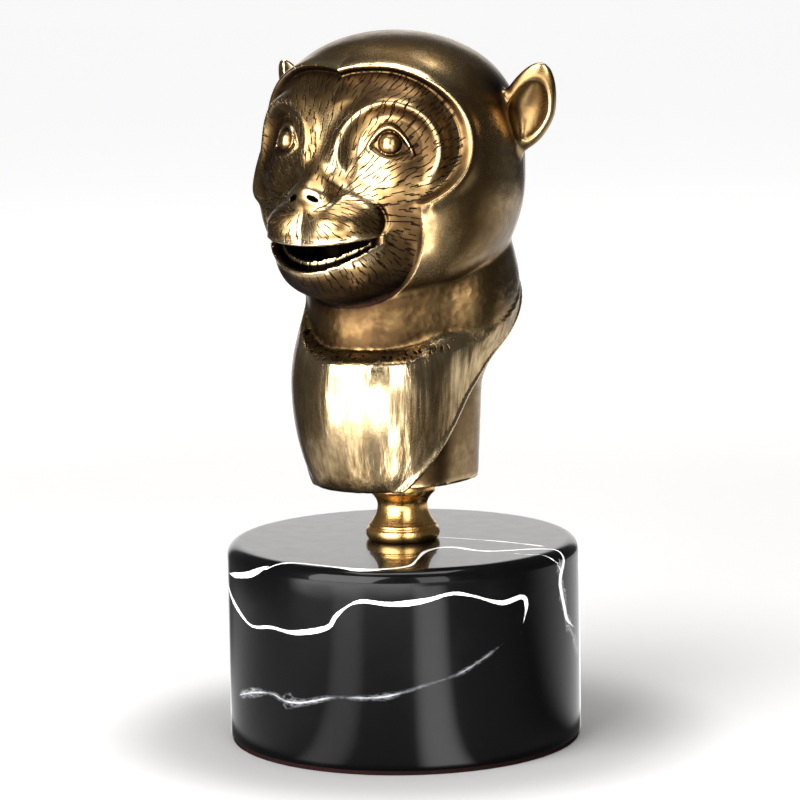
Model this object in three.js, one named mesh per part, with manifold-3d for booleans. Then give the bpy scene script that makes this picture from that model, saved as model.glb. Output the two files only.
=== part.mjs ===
// Zodiac monkey head of cast bronze, on a turned brass stem and a round marble base.
// Millimetres, +Z up, the face looks towards -Y. The origin is the middle of the underside.
import * as THREE from 'three';
import { mergeVertices } from 'three/addons/utils/BufferGeometryUtils.js';
import Module from 'manifold-3d';

// Driving dimensions
const BASE_DIAMETER = 85;
const BASE_HEIGHT = 47;
const BASE_TOP_ROUND = 3;
const BASE_FOOT_ROUND = 0.6;
const FELT_THICKNESS = 1;
const FELT_INSET = 0.4;
const STEM_HEIGHT = 14.6;
const STEM_FOOT_DIAMETER = 15.6;
const STEM_BULGE_DIAMETER = 17.9;
const STEM_WAIST_DIAMETER = 12.1;
const STEM_TOP_DIAMETER = 16;
const HEAD_HEIGHT = 107.4;

// Facet counts and the fineness of the sculpted surface
const ROUND_SIDES = 64;
const STEM_SIDES = 32;
const SCULPT_STEP = 0.8;
const HEAD_TRIANGLES = 7600;

// Heights where the pieces meet
const BASE_BOTTOM = FELT_THICKNESS;
const STEM_BOTTOM = BASE_BOTTOM + BASE_HEIGHT;
const HEAD_BOTTOM = STEM_BOTTOM + STEM_HEIGHT;

// The figure keeps its proportions as shares of its own height, in figure units.
// Its own zero lies a little under the flat cut below the chest.
const UNITS_AT_CUT = 3.6;
const UNITS_AT_CROWN = 111.4;
const UNIT = HEAD_HEIGHT / (UNITS_AT_CROWN - UNITS_AT_CUT);

// Soft shapes, given by a rough distance to their surface: negative inside

function smoothStep(value, low, high) {
  const t = Math.min(Math.max((value - low) / (high - low), 0), 1);
  return t * t * (3 - 2 * t);
}

function bump(distance, width) {
  return Math.exp(-((distance / width) ** 2));
}

function join(a, b, softness) {
  const near = Math.max(softness - Math.abs(a - b), 0) / softness;
  return Math.min(a, b) - near * near * softness / 4;
}

function overlap(a, b, softness) {
  return -join(-a, -b, softness);
}

function carve(a, tool, softness) {
  return overlap(a, -tool, softness);
}

// An egg: its front and back, and its upper and lower halves, can differ
function egg(x, f, h, centre, size) {
  const { wide, front, back = front, up, down = up, crown = 2 } = size;
  const df = f - centre[1];
  const dh = h - centre[2];
  const depth = df > 0 ? front : back;
  const tall = dh > 0 ? up : down;
  const px = (x - centre[0]) / wide;
  const pf = df / depth;
  const share = Math.abs(dh / tall);
  const ph = dh > 0 ? share ** (crown / 2) : share;
  const k0 = Math.hypot(px, pf, ph) + 1e-9;
  const k1 = Math.hypot(px / wide, pf / depth, ph / tall) + 1e-9;
  return k0 * (k0 - 1) / k1;
}

function ball(x, f, h, centre, wide, front, up) {
  return egg(x, f, h, centre, { wide, front, up });
}

function rod(x, f, h, start, end, radius) {
  const along = [end[0] - start[0], end[1] - start[1], end[2] - start[2]];
  const from = [x - start[0], f - start[1], h - start[2]];
  const dot = from[0] * along[0] + from[1] * along[1] + from[2] * along[2];
  const t = Math.min(Math.max(dot / (along[0] ** 2 + along[1] ** 2 + along[2] ** 2), 0), 1);
  return Math.hypot(from[0] - t * along[0], from[1] - t * along[1], from[2] - t * along[2]) - radius;
}

// Skull, cheeks, jaw, nose bridge
function skull(x, side, f, h) {
  const crown = { wide: 31.4, front: 29.2, back: 30.5, up: 33.9, down: 34, crown: 3 };
  const round = egg(x, f, h, [0, 1, 77.5], crown);
  const forehead = 0.87 * (f - 23) + 0.5 * (h - 101.7);
  const dome = overlap(round, forehead, 5);
  const cheeks = ball(side, f, h, [13.2, 7.2, 71], 17.2, 18.5, 18.5);
  const jaw = ball(x, f, h, [0, 14, 61.5], 20.5, 19.5, 14);
  const chin = ball(x, f, h, [0, 24.8, 58], 13, 12, 8.6);
  const brow = rod(x, f, h, [0, 17.5, 97], [0, 19, 86], 5);
  const bridge = rod(x, f, h, [0, 19, 86], [0, 32.5, 74.5], 5);
  const lower = join(jaw, chin, 5);
  const head = join(join(dome, cheeks, 4), lower, 3);
  return join(head, join(brow, bridge, 4), 5);
}

// Way round the head from the middle of the face, at a radius of 31
function wayRound(side, f) {
  return Math.atan2(side, Math.max(f + 5, 0.001)) * 31;
}

// Heart-shaped mask rim, as height over the skull: a raised edge round a sunken face,
// thickest where it ends beside the cheek
function rimRelief(around, h) {
  const lobe = Math.hypot((around - 11.2) / 21.3, (h - 87) / 17);
  const rim = (lobe - 1) * 18.5;
  const turn = Math.atan2(h - 87, around - 11.2) * 180 / Math.PI;
  const swell = 1 + 0.3 * bump(turn + 46, 12);
  const ridge = 1.15 * swell * smoothStep(turn, -61, -50) * bump(rim, rim > 0 ? 2 : 1.2);
  const sunk = smoothStep(turn, -75, -45) * (1 - smoothStep(-rim, 3, 8.5));
  return ridge - 1.3 * smoothStep(-rim, 0, 2.2) * sunk;
}

// Brow ring over the eye, open below, and the dish inside it
function browRelief(around, h) {
  const ring = Math.hypot(around - 14.7, h - 85) - 10.7;
  const angle = Math.atan2(h - 85, around - 14.7) * 180 / Math.PI;
  const turn = angle < -90 ? angle + 360 : angle;
  const live = smoothStep(turn, -62, -25) * (1 - smoothStep(turn, 180, 225));
  const dish = 2.1 * smoothStep(-ring, 0.2, 4) * smoothStep(h, 75, 86);
  return 1.35 * live * bump(ring, ring > 0 ? 2 : 1.2) - dish;
}

function lidRelief(around, h) {
  const across = around - 14.8;
  const arch = across ** 2;
  const tilted = h + 0.14 * across;
  const almond = overlap(tilted - 89.6 + 0.21 * arch, 82.9 + 0.08 * arch - tilted, 0.8);
  const thick = (0.55 + 0.45 * smoothStep(h, 84.6, 86.6)) * (1 - smoothStep(arch, 26, 42));
  return 0.8 * thick * bump(almond - 0.6, 1) - 0.3 * smoothStep(-almond, 0.2, 1.4);
}

// Fullness below the eye and beside it, and the fold where the jaw meets the hood
function cheekRelief(around, h) {
  const apple = 0.7 * bump(Math.hypot(around - 16.5, h - 78.5), 5);
  const temple = 0.8 * bump(Math.hypot((around - 31) / 9, (h - 80) / 7), 1);
  const oval = ((around / 21.4) ** 2.5 + (Math.abs(h - 66) / 18.6) ** 2.5) ** 0.4;
  const inside = (1 - oval) * 20;
  const fold = smoothStep(inside, -0.3, 0.9) * (1 - smoothStep(inside, 1, 6));
  return apple + temple - 0.75 * fold * (1 - smoothStep(h, 66, 74));
}

function maskRelief(side, f, h) {
  const around = wayRound(side, f);
  const face = rimRelief(around, h) + browRelief(around, h) + lidRelief(around, h);
  return smoothStep(f, -6, 2) * (face + cheekRelief(around, h));
}

// Muzzle with its two lip pads, the smile crease beside it, and the snub nose
function withMuzzle(head, x, side, f, h) {
  const round = egg(x, f, h, [0, 25.2, 66], { wide: 15.4, front: 13.4, up: 9.6, down: 15 });
  const pads = ball(side, f, h, [5.6, 30, 67.2], 8.2, 9, 5.6);
  const crease = bump(wayRound(side, f) - 13.9 + 0.1 * (h - 68.6) ** 2, 0.7);
  const creaseLive = smoothStep(h, 64, 65.5) * (1 - smoothStep(h, 71, 74));
  const muzzle = join(head, join(round, pads, 3), 4) + 0.6 * crease * creaseLive;
  const tip = ball(x, f, h, [0, 35.6, 75], 3.6, 2.8, 2.2);
  const wings = ball(side, f, h, [3.4, 34.6, 74.2], 2.3, 2.8, 1.9);
  const nostrils = ball(side, f, h, [2.7, 37.6, 74.3], 1.5, 1.2, 0.8);
  return carve(join(muzzle, join(tip, wings, 1.6), 2.2), nostrils, 0.5);
}

// Open smiling mouth with rolled lips and the lower row of teeth
function withMouth(head, x, f, h) {
  const upperLip = 63.1 + 0.0079 * x * x;
  const lowerLip = 57.2 + 0.0271 * x * x;
  const palate = (1 - Math.hypot(x / 11, (f - 19) / 10.5)) * 10;
  const opening = overlap(h - upperLip, lowerLip - h, 2);
  const slot = Math.max(opening, palate, 29 - f);
  const lips = 0.6 * bump(slot, 1) * smoothStep(f, 26, 31);
  const opened = carve(head - lips, slot, 0.8);
  const arch = Math.abs(Math.hypot(x / 12.4, (f - 25.5) / 9.8) - 1) * 11;
  const row = Math.abs(h - 57.7 - 0.0271 * x * x) - 1.9;
  const teeth = Math.max(arch - 0.8, row, 27 - f);
  return join(opened, teeth, 0.5);
}

// Cupped ear, leaning outwards, in its own axes: across, out of the cup and along
const EAR_CENTRE = new THREE.Vector3(33.6, -7, 92.5);
const EAR_ALONG = new THREE.Vector3(0.285, 0.16, 0.945).normalize();
const EAR_ACROSS = new THREE.Vector3(0.92, -0.385, 0);
EAR_ACROSS.addScaledVector(EAR_ALONG, -EAR_ACROSS.dot(EAR_ALONG)).normalize();
const EAR_OUT = new THREE.Vector3().crossVectors(EAR_ALONG, EAR_ACROSS);

function ear(side, f, h) {
  const cx = side - EAR_CENTRE.x;
  const cf = f - EAR_CENTRE.y;
  const ch = h - EAR_CENTRE.z;
  const across = cx * EAR_ACROSS.x + cf * EAR_ACROSS.y + ch * EAR_ACROSS.z;
  const along = cx * EAR_ALONG.x + cf * EAR_ALONG.y + ch * EAR_ALONG.z;
  const out = cx * EAR_OUT.x + cf * EAR_OUT.y + ch * EAR_OUT.z;
  const leaf = across + 1.1 - 0.16 * along;
  const outer = { wide: 6.75, front: 2.6, back: 3.8, up: 12, down: 10.8, crown: 1.3 };
  const inner = { wide: 5, front: 3.4, up: 8.4, down: 8, crown: 1.4 };
  const shell = egg(leaf, out, along, [0, 0, 0], outer);
  const hollow = egg(leaf, out, along, [0.3, 2.6, 0.6], inner);
  return carve(shell, hollow, 0.8);
}

// Neck, collar fold, and the chest panel whose back edge is a slanted ridge
function bust(x, f, h) {
  const nape = egg(x, f, h, [0, -3, 48], { wide: 27.4, front: 17, back: 27.6, up: 34, down: 24 });
  const throat = (Math.hypot(x / 19.3, (f - 3) / 21.2) - 1) * 20;
  const rise = 0.0078 * (26 - f) ** 2 + 0.05 * Math.max(-x - 2, 0) ** 2;
  const crease = h - 37.4 - rise;
  const neck = Math.max(overlap(throat, -crease - 6, 3), h - 62);
  const collar = join(nape, neck, 5);
  const panel = egg(x, f, h, [0, 8.3, 28], { wide: 21.3, front: 21.3, back: 34, up: 29, down: 37 });
  const wrap = egg(x, f, h, [0, -3, 46], { wide: 25, front: 20, back: 26, up: 24 });
  const chest = join(overlap(panel, crease, 4.5), overlap(wrap, crease, 2), 8);
  const slant = (19.6 - 0.55 * h - 0.006 * h * h - f) / 1.3;
  const cape = overlap(join(chest, collar, 0.8), slant, 1);
  const folds = 0.35 * Math.cos(6 * Math.atan2(x, -(f + 1.5)));
  const taper = 1.05 + 0.003 * (h - 12) + 0.16 * smoothStep(h, 26, 36);
  const column = (Math.hypot(x / 16.3, (f + 1.5) / 18.3) - taper) * 17 - folds;
  return join(cape, Math.max(column, h - 62), 1.2);
}

// Round eyeball, with its depth towards the front
const EYE = new THREE.Vector3(14.4, 23, 86.1);
const EYE_RADIUS = 2.85;

// The whole figure in figure units: x across, f forwards, h up
function figure(x, f, h) {
  const side = Math.abs(x);
  let head = skull(x, side, f, h) - maskRelief(side, f, h);
  head = withMuzzle(head, x, side, f, h);
  head = withMouth(head, x, f, h);
  const eyes = Math.hypot(side - EYE.x, f - EYE.y, h - EYE.z) - EYE_RADIUS;
  head = join(head, eyes, 0.3);
  head = join(head, ear(side, f, h), 2.6);
  return join(head, bust(x, f, h), 1.2);
}

// Whether the marked corners of a cube hang together along its edges
function hangTogether(mask) {
  let reached = mask & -mask;
  let before = 0;
  while (reached !== before) {
    before = reached;
    for (let corner = 0; corner < 8; corner += 1) {
      if (!((reached >> corner) & 1)) continue;
      for (const axis of [1, 2, 4]) reached |= mask & (1 << (corner ^ axis));
    }
  }
  return reached === mask;
}

// Fill each grid square whose corners lie in and out by turns, where two sheets would pinch
function closeSquares(values, stride, fill) {
  const last = values.length - stride[1] - stride[2];
  let found = false;
  for (const [u, v] of [[0, 1], [1, 2], [2, 0]]) {
    for (let at = 0; at < last; at += 1) {
      const inside = values[at] < 0;
      const beyond = at + stride[u] + stride[v];
      if (inside !== values[beyond] < 0) continue;
      if (inside === values[at + stride[u]] < 0 || inside === values[at + stride[v]] < 0) continue;
      const open = inside ? [at + stride[u], at + stride[v]] : [at, beyond];
      for (const corner of open) values[corner] = -fill;
      found = true;
    }
  }
  return found;
}

// Fill the nearest open corner of each grid cell where two sheets would touch in a point
function closeCells(values, stride, fill, reach) {
  const cube = [0, 1, 2, 3, 4, 5, 6, 7];
  const offset = cube.map((c) => (c & 1) + ((c >> 1) & 1) * stride[1] + (c >> 2) * stride[2]);
  const whole = Array.from({ length: 256 }, (_, mask) => hangTogether(mask) && hangTogether(255 - mask));
  const last = values.length - offset[7];
  let found = false;
  for (let at = 0; at < last; at += 1) {
    if (Math.abs(values[at]) > reach) continue;
    const mask = cube.reduce((sum, c) => sum + (values[at + offset[c]] < 0 ? 1 << c : 0), 0);
    if (whole[mask]) continue;
    const open = offset.map((step) => at + step).filter((corner) => values[corner] >= 0);
    const nearest = open.reduce((best, corner) => (values[corner] < values[best] ? corner : best));
    values[nearest] = -fill;
    found = true;
  }
  return found;
}

// Field values on a grid. A block of nodes well off the surface takes its middle value.
function sampleField(field, low, step, count) {
  const values = new Float32Array(count[0] * count[1] * count[2]);
  const block = 4;
  const place = (axis, index) => low[axis] + index * step;
  for (let k = 0; k < count[2]; k += block) {
    for (let j = 0; j < count[1]; j += block) {
      for (let i = 0; i < count[0]; i += block) {
        const half = (block - 1) / 2;
        const middle = field(place(0, i + half), place(1, j + half), place(2, k + half));
        const far = Math.abs(middle) > 1.5 * block * step;
        for (let c = k; c < Math.min(k + block, count[2]); c += 1) {
          for (let b = j; b < Math.min(j + block, count[1]); b += 1) {
            for (let a = i; a < Math.min(i + block, count[0]); a += 1) {
              const value = far ? middle : field(place(0, a), place(1, b), place(2, c));
              values[a + count[0] * (b + count[1] * c)] = value;
            }
          }
        }
      }
    }
  }
  return values;
}

// Draw a point onto the surface of a field, by no more than the reach
function drawOnto(field, point, reach) {
  const nudge = 0.05;
  const moved = [...point];
  for (let round = 0; round < 2; round += 1) {
    const value = field(...moved);
    const slope = [0, 1, 2].map((axis) => {
      const ahead = [...moved];
      const behind = [...moved];
      ahead[axis] += nudge;
      behind[axis] -= nudge;
      return (field(...ahead) - field(...behind)) / (2 * nudge);
    });
    const steep = slope.reduce((sum, part) => sum + part * part, 0.1);
    slope.forEach((part, axis) => {
      const shift = moved[axis] - value * part / steep - point[axis];
      moved[axis] = point[axis] + Math.min(Math.max(shift, -reach), reach);
    });
  }
  return moved;
}

// Surface of a field, as one vertex in each grid cell that the surface crosses
function surfaceNet(field, low, high, step) {
  const count = low.map((value, axis) => Math.ceil((high[axis] - value) / step) + 1);
  const stride = [1, count[0], count[0] * count[1]];
  const values = sampleField(field, low, step, count);
  const fill = step / 10;
  let filled = true;
  while (filled) {
    const squares = closeSquares(values, stride, fill);
    filled = closeCells(values, stride, fill, 4 * step) || squares;
  }
  const vertexOf = new Int32Array(values.length).fill(-1);
  const points = [];
  const faces = [];
  const corners = [0, 1, 2, 3, 4, 5, 6, 7].map((c) => [c & 1, (c >> 1) & 1, c >> 2]);
  const edges = [];
  for (const [a, first] of corners.entries()) {
    for (const [b, second] of corners.entries()) {
      const apart = first.reduce((sum, value, axis) => sum + Math.abs(value - second[axis]), 0);
      if (b > a && apart === 1) edges.push([a, b]);
    }
  }
  for (let k = 0; k < count[2] - 1; k += 1) {
    for (let j = 0; j < count[1] - 1; j += 1) {
      for (let i = 0; i < count[0] - 1; i += 1) {
        const cell = i + j * stride[1] + k * stride[2];
        if (Math.abs(values[cell]) > 4 * step) continue;
        const value = corners.map(([x, y, z]) => values[cell + x + y * stride[1] + z * stride[2]]);
        const inside = value.filter((v) => v < 0).length;
        if (inside === 0 || inside === 8) continue;
        const sum = [0, 0, 0];
        let crossings = 0;
        for (const [a, b] of edges) {
          if (value[a] < 0 === value[b] < 0) continue;
          const t = value[a] / (value[a] - value[b]);
          for (const axis of [0, 1, 2]) {
            sum[axis] += corners[a][axis] + t * (corners[b][axis] - corners[a][axis]);
          }
          crossings += 1;
        }
        vertexOf[cell] = points.length;
        const cellIndex = [i, j, k];
        points.push(sum.map((s, axis) => low[axis] + (cellIndex[axis] + s / crossings) * step));
      }
    }
  }
  const addQuad = (a, b, c, d) => faces.push([a, b, c], [a, c, d]);
  for (let k = 1; k < count[2] - 1; k += 1) {
    for (let j = 1; j < count[1] - 1; j += 1) {
      for (let i = 1; i < count[0] - 1; i += 1) {
        const cell = i + j * stride[1] + k * stride[2];
        for (const axis of [0, 1, 2]) {
          const startsInside = values[cell] < 0;
          if (startsInside === values[cell + stride[axis]] < 0) continue;
          const u = stride[(axis + 1) % 3];
          const v = stride[(axis + 2) % 3];
          const quad = [cell, cell - u, cell - u - v, cell - v].map((c) => vertexOf[c]);
          if (startsInside) addQuad(...quad);
          else addQuad(...quad.reverse());
        }
      }
    }
  }
  return { points, faces };
}

// Even out the spacing of a net, and draw it back onto the surface each time
function settle({ points, faces }, field, rounds, reach) {
  const near = points.map(() => new Set());
  for (const [a, b, c] of faces) {
    near[a].add(b).add(c);
    near[b].add(c).add(a);
    near[c].add(a).add(b);
  }
  let placed = points;
  for (let round = 0; round < rounds; round += 1) {
    const now = placed;
    placed = now.map((point, index) => {
      const evened = point.map((value, axis) => {
        let sum = 0;
        for (const other of near[index]) sum += now[other][axis];
        return (value + sum / near[index].size) / 2;
      });
      return drawOnto(field, evened, reach);
    });
  }
  return { points: placed, faces };
}

// Smallest pair first, kept in a heap ordered by cost
class Queue {
  constructor() {
    this.items = [];
  }

  push(item) {
    const { items } = this;
    let at = items.length;
    items.push(item);
    while (at > 0) {
      const parent = (at - 1) >> 1;
      if (items[parent].cost <= item.cost) break;
      items[at] = items[parent];
      at = parent;
    }
    items[at] = item;
  }

  pop() {
    const { items } = this;
    const first = items[0];
    const last = items.pop();
    if (items.length === 0) return first;
    let at = 0;
    for (;;) {
      let child = 2 * at + 1;
      if (child >= items.length) break;
      if (child + 1 < items.length && items[child + 1].cost < items[child].cost) child += 1;
      if (items[child].cost >= last.cost) break;
      items[at] = items[child];
      at = child;
    }
    items[at] = last;
    return first;
  }
}

// Thin a closed mesh by drawing edges together where that moves the surface least.
// Care says how much finer than elsewhere a place is kept.
function thinOut({ points, faces }, target, care) {
  const corner = points.map((p) => new THREE.Vector3(...p));
  const quadric = points.map(() => new Float64Array(10));
  const around = points.map(() => new Set());
  const alive = faces.map(() => true);
  const version = new Int32Array(points.length);
  const first = new THREE.Vector3();
  const second = new THREE.Vector3();
  const normalOf = (a, b, c, into) => {
    first.subVectors(b, a);
    second.subVectors(c, a);
    return into.crossVectors(first, second);
  };
  const normal = new THREE.Vector3();
  faces.forEach((face, index) => {
    normalOf(corner[face[0]], corner[face[1]], corner[face[2]], normal);
    const area = normal.length();
    normal.divideScalar(area || 1);
    const offset = -normal.dot(corner[face[0]]);
    const n = [normal.x, normal.y, normal.z, offset];
    const weight = area * care(corner[face[0]]);
    for (const vertex of face) {
      let slot = 0;
      for (let a = 0; a < 4; a += 1) {
        for (let b = a; b < 4; b += 1) {
          quadric[vertex][slot] += weight * n[a] * n[b];
          slot += 1;
        }
      }
      around[vertex].add(index);
    }
  });
  const errorAt = (q, p) => {
    const { x, y, z } = p;
    return q[0] * x * x + q[4] * y * y + q[7] * z * z + q[9]
      + 2 * (q[1] * x * y + q[2] * x * z + q[5] * y * z + q[3] * x + q[6] * y + q[8] * z);
  };
  const bends = new THREE.Matrix3();
  const lowestPoint = (q, middle) => {
    bends.set(q[0], q[1], q[2], q[1], q[4], q[5], q[2], q[5], q[7]);
    const size = q[0] + q[4] + q[7];
    if (Math.abs(bends.determinant()) < 1e-4 * size ** 3) return middle;
    return new THREE.Vector3(-q[3], -q[6], -q[8]).applyMatrix3(bends.invert());
  };
  const queue = new Queue();
  const offer = (a, b) => {
    const q = quadric[a].map((value, slot) => value + quadric[b][slot]);
    const middle = corner[a].clone().add(corner[b]).multiplyScalar(0.5);
    const length = corner[a].distanceToSquared(corner[b]);
    const choices = [middle, corner[a].clone(), corner[b].clone()];
    const lowest = lowestPoint(q, middle);
    if (lowest.distanceToSquared(middle) < length) choices.push(lowest);
    let best = null;
    for (const place of choices) {
      const cost = Math.abs(errorAt(q, place)) + 1e-4 * length * length;
      if (!best || cost < best.cost) best = { cost, place };
    }
    queue.push({ a, b, ...best, stamp: version[a] + version[b] });
  };
  const neighbours = (vertex) => {
    const found = new Set();
    for (const face of around[vertex]) faces[face].forEach((other) => found.add(other));
    found.delete(vertex);
    return found;
  };
  const before = new THREE.Vector3();
  const after = new THREE.Vector3();
  const flips = (moving, other, place) => {
    for (const index of around[moving]) {
      const face = faces[index];
      if (face.includes(other)) continue;
      const old = face.map((vertex) => corner[vertex]);
      const moved = face.map((vertex) => (vertex === moving ? place : corner[vertex]));
      normalOf(...old, before);
      normalOf(...moved, after);
      if (before.dot(after) < 0.35 * before.length() * after.length()) return true;
      if (after.length() < 1e-3) return true;
    }
    return false;
  };
  points.forEach((_, vertex) => {
    for (const other of neighbours(vertex)) if (other > vertex) offer(vertex, other);
  });
  let left = faces.length;
  while (left > target && queue.items.length > 0) {
    const { a, b, place, stamp } = queue.pop();
    if (around[a].size === 0 || around[b].size === 0 || stamp !== version[a] + version[b]) continue;
    const nearA = neighbours(a);
    if (!nearA.has(b)) continue;
    const shared = [...neighbours(b)].filter((vertex) => nearA.has(vertex));
    if (shared.length !== 2 || flips(a, b, place) || flips(b, a, place)) continue;
    for (const index of [...around[b]]) {
      const face = faces[index];
      if (face.includes(a)) {
        alive[index] = false;
        face.forEach((vertex) => around[vertex].delete(index));
        left -= 1;
      } else {
        face[face.indexOf(b)] = a;
        around[b].delete(index);
        around[a].add(index);
      }
    }
    corner[a].copy(place);
    quadric[b].forEach((value, slot) => {
      quadric[a][slot] += value;
    });
    version[a] += 1;
    version[b] += 1;
    for (const other of neighbours(a)) offer(a, other);
  }
  return { corner, faces: faces.filter((_, index) => alive[index]) };
}

function toGeometry(corner, faces) {
  const geometry = new THREE.BufferGeometry();
  const flat = faces.flatMap((face) => face.flatMap((vertex) => corner[vertex].toArray()));
  geometry.setAttribute('position', new THREE.Float32BufferAttribute(flat, 3));
  return mergeVertices(geometry, 1e-5);
}

// Cut a closed geometry flat at a height, and keep what is above
const wasm = await Module();
wasm.setup();

function toSolid(geometry) {
  const bare = geometry.clone();
  bare.deleteAttribute('normal');
  bare.deleteAttribute('uv');
  const merged = mergeVertices(bare, 1e-5);
  const mesh = new wasm.Mesh({
    numProp: 3,
    vertProperties: new Float32Array(merged.attributes.position.array),
    triVerts: new Uint32Array(merged.index.array),
  });
  return new wasm.Manifold(mesh);
}

function cutFlat(geometry, height, reach) {
  const block = new THREE.BoxGeometry(2 * reach, 2 * reach, reach);
  block.translate(0, 0, height - reach / 2);
  const mesh = toSolid(geometry).subtract(toSolid(block)).getMesh();
  const result = new THREE.BufferGeometry();
  result.setAttribute('position', new THREE.BufferAttribute(mesh.vertProperties, 3));
  result.setIndex(new THREE.BufferAttribute(mesh.triVerts, 1));
  return result;
}

// The eyes are kept finest, then the rest of the face, then the ears
function faceCare({ x, y, z }) {
  const fromEye = Math.hypot(Math.abs(x) - EYE.x, -y - EYE.y, z - EYE.z);
  if (fromEye < 2.2 * EYE_RADIUS) return 24;
  if (y < -8 && z > 48 && z < 107) return 8;
  return Math.abs(x) > 30 ? 2 : 1;
}

function headGeometry() {
  const field = (x, y, h) => Math.max(figure(x, -y, h), UNITS_AT_CUT - 2 - h);
  const beyondEar = EAR_CENTRE.x + 10.4;
  const low = [-beyondEar, -46, UNITS_AT_CUT - 5.6];
  const high = [beyondEar, 34, UNITS_AT_CROWN + 1.6];
  const net = surfaceNet(field, low, high, SCULPT_STEP);
  const even = settle(net, field, 3, SCULPT_STEP / 2);
  const thin = thinOut(even, HEAD_TRIANGLES, faceCare);
  const figureGeometry = toGeometry(thin.corner, thin.faces);
  const flat = cutFlat(figureGeometry, UNITS_AT_CUT, UNITS_AT_CROWN);
  flat.translate(0, 0, -UNITS_AT_CUT);
  flat.scale(UNIT, UNIT, UNIT);
  return flat;
}

// A quarter round of a profile
function quarterRound(centreX, centreY, radius, startAngle, steps) {
  const arc = new THREE.EllipseCurve(
    centreX, centreY, radius, radius, startAngle, startAngle + Math.PI / 2,
  );
  return arc.getPoints(steps);
}

// Lathes turn round Y, so a finished one is stood up along +Z
function turned(profile, sides) {
  const geometry = new THREE.LatheGeometry(profile, sides);
  geometry.rotateX(Math.PI / 2);
  geometry.deleteAttribute('normal');
  geometry.deleteAttribute('uv');
  return mergeVertices(geometry, 1e-4);
}

// Polished disc with a round top edge and a slightly rounded foot
function baseGeometry() {
  const radius = BASE_DIAMETER / 2;
  const foot = BASE_FOOT_ROUND;
  const top = BASE_TOP_ROUND;
  return turned([
    new THREE.Vector2(0, 0),
    ...quarterRound(radius - foot, foot, foot, -Math.PI / 2, 1),
    ...quarterRound(radius - top, BASE_HEIGHT - top, top, 0, 4),
    new THREE.Vector2(0, BASE_HEIGHT),
  ], ROUND_SIDES);
}

function feltGeometry() {
  const radius = BASE_DIAMETER / 2 - FELT_INSET;
  return turned([
    new THREE.Vector2(0, 0),
    new THREE.Vector2(radius, 0),
    new THREE.Vector2(radius, FELT_THICKNESS),
    new THREE.Vector2(0, FELT_THICKNESS),
  ], ROUND_SIDES);
}

// Turned stem: a bulging foot ring, a fine step, a hollow sweep to the waist, a flared top
function stemGeometry() {
  const foot = STEM_FOOT_DIAMETER / 2;
  const bulge = STEM_BULGE_DIAMETER / 2;
  const waist = STEM_WAIST_DIAMETER / 2;
  const top = STEM_TOP_DIAMETER / 2;
  const level = (share) => share * STEM_HEIGHT;
  const profile = [new THREE.Vector2(0, 0), new THREE.Vector2(foot, 0)];
  const ringSteps = 4;
  for (let i = 1; i <= ringSteps; i += 1) {
    const angle = (i / ringSteps) * Math.PI * 0.7;
    const swell = Math.sin(angle);
    profile.push(new THREE.Vector2(foot + (bulge - foot) * swell, level(0.115 * (1 - Math.cos(angle)))));
  }
  const shoulder = foot + (bulge - foot) * 0.3;
  profile.push(new THREE.Vector2(shoulder, level(0.21)));
  profile.push(new THREE.Vector2(shoulder - 0.25, level(0.27)));
  const sweepSteps = 5;
  for (let i = 1; i <= sweepSteps; i += 1) {
    const t = i / sweepSteps;
    const ease = 1 - (1 - t) ** 2;
    const radius = shoulder - 0.25 + (waist - shoulder + 0.25) * ease;
    profile.push(new THREE.Vector2(radius, level(0.27 + 0.3 * t)));
  }
  const flareSteps = 4;
  for (let i = 1; i <= flareSteps; i += 1) {
    const t = i / flareSteps;
    profile.push(new THREE.Vector2(waist + (top - waist) * t * t, level(0.57 + 0.22 * t)));
  }
  profile.push(new THREE.Vector2(top, STEM_HEIGHT));
  profile.push(new THREE.Vector2(0, STEM_HEIGHT));
  return turned(profile, STEM_SIDES);
}

function material(color, roughness, metalness) {
  return new THREE.MeshStandardMaterial({ color, roughness, metalness });
}

function piece(name, geometry, finish, height) {
  const mesh = new THREE.Mesh(geometry, finish);
  mesh.name = name;
  mesh.position.z = height;
  return mesh;
}

const zodiacFigure = new THREE.Group();
zodiacFigure.add(
  piece('felt_pad', feltGeometry(), material(0x2a0d10, 0.95, 0), 0),
  piece('marble_base', baseGeometry(), material(0x0b0b0d, 0.08, 0), BASE_BOTTOM),
  piece('brass_stem', stemGeometry(), material(0xb07a2e, 0.25, 1), STEM_BOTTOM),
  piece('monkey_head', headGeometry(), material(0x6d5432, 0.35, 1), HEAD_BOTTOM),
);

export default zodiacFigure;
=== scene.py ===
# Zodiac monkey head of cast bronze on a turned brass stem and a round black marble base.
# The scene is in metres. The sculpted figure and the marble veins are worked out in
# millimetres, with f for forwards, where the face looks, which is the scene's -Y.
import math

import bpy
import numpy as np
from mathutils import Matrix, Vector


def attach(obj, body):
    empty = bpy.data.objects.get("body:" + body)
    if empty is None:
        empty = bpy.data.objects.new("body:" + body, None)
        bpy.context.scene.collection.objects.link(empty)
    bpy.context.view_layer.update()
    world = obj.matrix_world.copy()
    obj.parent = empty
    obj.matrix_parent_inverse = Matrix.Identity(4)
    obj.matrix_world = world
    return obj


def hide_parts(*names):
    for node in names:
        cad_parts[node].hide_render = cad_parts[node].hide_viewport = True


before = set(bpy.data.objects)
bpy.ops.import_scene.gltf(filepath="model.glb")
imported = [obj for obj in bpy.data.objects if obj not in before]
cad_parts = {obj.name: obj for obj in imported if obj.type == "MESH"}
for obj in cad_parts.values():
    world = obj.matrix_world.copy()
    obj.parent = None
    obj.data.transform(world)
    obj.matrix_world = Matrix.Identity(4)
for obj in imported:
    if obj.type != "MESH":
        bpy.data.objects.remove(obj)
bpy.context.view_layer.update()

MM = 0.001

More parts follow.
